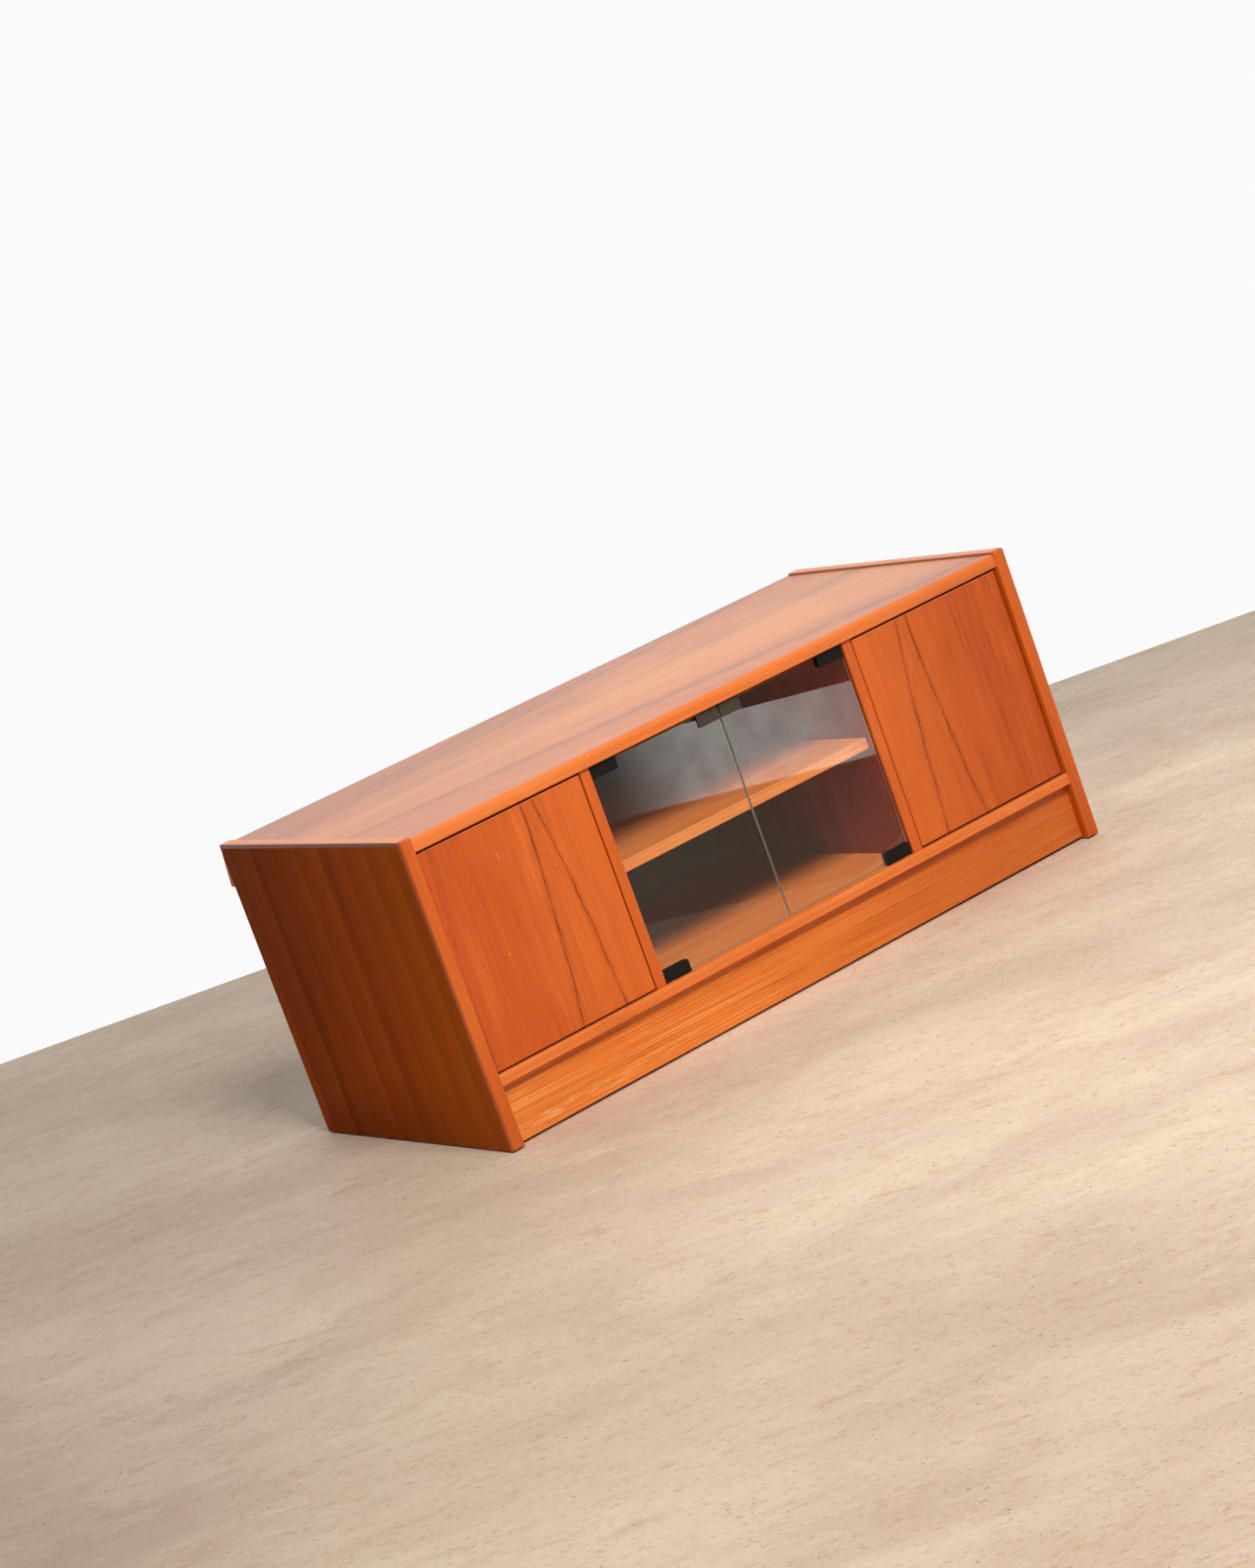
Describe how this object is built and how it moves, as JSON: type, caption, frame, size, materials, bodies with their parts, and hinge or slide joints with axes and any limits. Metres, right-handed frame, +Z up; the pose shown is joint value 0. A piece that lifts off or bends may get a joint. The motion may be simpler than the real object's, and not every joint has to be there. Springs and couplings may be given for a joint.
{
  "type": "tv stand with doors",
  "caption": "Low teak television stand with a wooden door at each end, a pair of glass doors in the middle over a shelf, and a set-back plinth.",
  "frame": {"origin": "on the floor, under the middle of the whole stand", "axes": "+X to the right as the front is faced, +Y to the back, +Z up"},
  "size_m": [1.05, 0.51, 0.4345],
  "materials": {
    "teak_veneer": "oiled teak veneer, satin",
    "teak_solid": "solid teak lipping, oiled, satin",
    "plain_wood": "bare beech and pine, planed",
    "hardboard": "brown hardboard, smooth side out",
    "clear_glass": "clear float glass, polished edges with a green tinge",
    "black_metal": "black enamel, satin",
    "grey_metal": "dark bronze-grey enamel, satin",
    "steel": "zinc-plated steel",
    "brass": "turned brass",
    "brown_plastic": "moulded dark brown plastic",
    "white_plastic": "moulded white nylon",
    "black_rubber": "thin black rubber sheet"
  },
  "bodies": {
    "case": {"back_panel": "hardboard", "back_panel_nails": "steel", "bottom_front_lipping": "teak_solid", "bottom_panel": "teak_veneer", "case_dowels": "plain_wood", "divider_left": "teak_veneer", "divider_lipping_left": "teak_solid", "divider_lipping_right": "teak_solid", "divider_right": "teak_veneer", "door_pivot_pins": "steel", "door_pivot_washers": "white_plastic", "floor_glides": "steel", "glass_pivot_bushes": "white_plastic", "latch_housing_centre": "brown_plastic", "latch_housing_left": "brown_plastic", "latch_housing_right": "brown_plastic", "latch_screws": "steel", "plinth_front": "teak_veneer", "plinth_glue_blocks": "plain_wood", "rear_rail": "teak_solid", "rear_rail_screws": "steel", "shelf_centre": "teak_veneer", "shelf_centre_lipping": "teak_solid", "shelf_left": "teak_veneer", "shelf_pins": "brass", "shelf_right": "teak_veneer", "side_front_lipping_left": "teak_solid", "side_front_lipping_right": "teak_solid", "side_panel_left": "teak_veneer", "side_panel_right": "teak_veneer", "side_top_lipping_left": "teak_solid", "side_top_lipping_right": "teak_solid", "top_front_lipping": "teak_solid", "top_panel": "teak_veneer"},
    "door_left": {"door_left_panel": "teak_veneer", "door_left_pivot_bushes": "brass", "door_left_strike_plate": "steel"},
    "glass_door_left": {"glass_left_pane": "clear_glass", "glass_left_hinge_clips": "black_metal", "glass_left_hinge_pads": "black_rubber", "glass_left_hinge_screws": "steel", "glass_left_pivot_pins": "steel", "glass_left_striker": "grey_metal"},
    "door_left_latch": {"door_left_plunger": "white_plastic", "door_left_magnet": "steel"},
    "glass_left_latch": {"glass_left_plunger": "white_plastic", "glass_left_magnet": "steel"},
    "door_right": {"door_right_panel": "teak_veneer", "door_right_pivot_bushes": "brass", "door_right_strike_plate": "steel"},
    "glass_door_right": {"glass_right_pane": "clear_glass", "glass_right_hinge_clips": "black_metal", "glass_right_hinge_pads": "black_rubber", "glass_right_hinge_screws": "steel", "glass_right_pivot_pins": "steel", "glass_right_striker": "grey_metal"},
    "door_right_latch": {"door_right_plunger": "white_plastic", "door_right_magnet": "steel"},
    "glass_right_latch": {"glass_right_plunger": "white_plastic", "glass_right_magnet": "steel"}
  },
  "joints": [
    {"name": "door_left_hinge", "type": "hinge", "parent": "case", "child": "door_left", "pos_m": [-0.488, -0.238, 0.2555], "axis": [0, 0, -1], "range_deg": [0, 110]},
    {"name": "glass_left_hinge", "type": "hinge", "parent": "case", "child": "glass_door_left", "pos_m": [-0.2095, -0.2395, 0.2555], "axis": [0, 0, -1], "range_deg": [0, 95]},
    {"name": "door_left_plunger_slide", "type": "slide", "parent": "case", "child": "door_left_latch", "axis": [0, -1, 0], "range_m": [0, 0.008]},
    {"name": "glass_left_plunger_slide", "type": "slide", "parent": "case", "child": "glass_left_latch", "axis": [0, -1, 0], "range_m": [0, 0.008]},
    {"name": "door_right_hinge", "type": "hinge", "parent": "case", "child": "door_right", "pos_m": [0.488, -0.238, 0.2555], "axis": [0, 0, 1], "range_deg": [0, 110]},
    {"name": "glass_right_hinge", "type": "hinge", "parent": "case", "child": "glass_door_right", "pos_m": [0.2095, -0.2395, 0.2555], "axis": [0, 0, 1], "range_deg": [0, 95]},
    {"name": "door_right_plunger_slide", "type": "slide", "parent": "case", "child": "door_right_latch", "axis": [0, -1, 0], "range_m": [0, 0.008]},
    {"name": "glass_right_plunger_slide", "type": "slide", "parent": "case", "child": "glass_right_latch", "axis": [0, -1, 0], "range_m": [0, 0.008]}
  ],
  "couplings": [
    {"joint": "door_left_plunger_slide", "follows": "door_left_hinge", "m_per_rad": 0.00416},
    {"joint": "glass_left_plunger_slide", "follows": "glass_left_hinge", "m_per_rad": 0.0048},
    {"joint": "door_right_plunger_slide", "follows": "door_right_hinge", "m_per_rad": 0.00416},
    {"joint": "glass_right_plunger_slide", "follows": "glass_right_hinge", "m_per_rad": 0.0048}
  ]
}
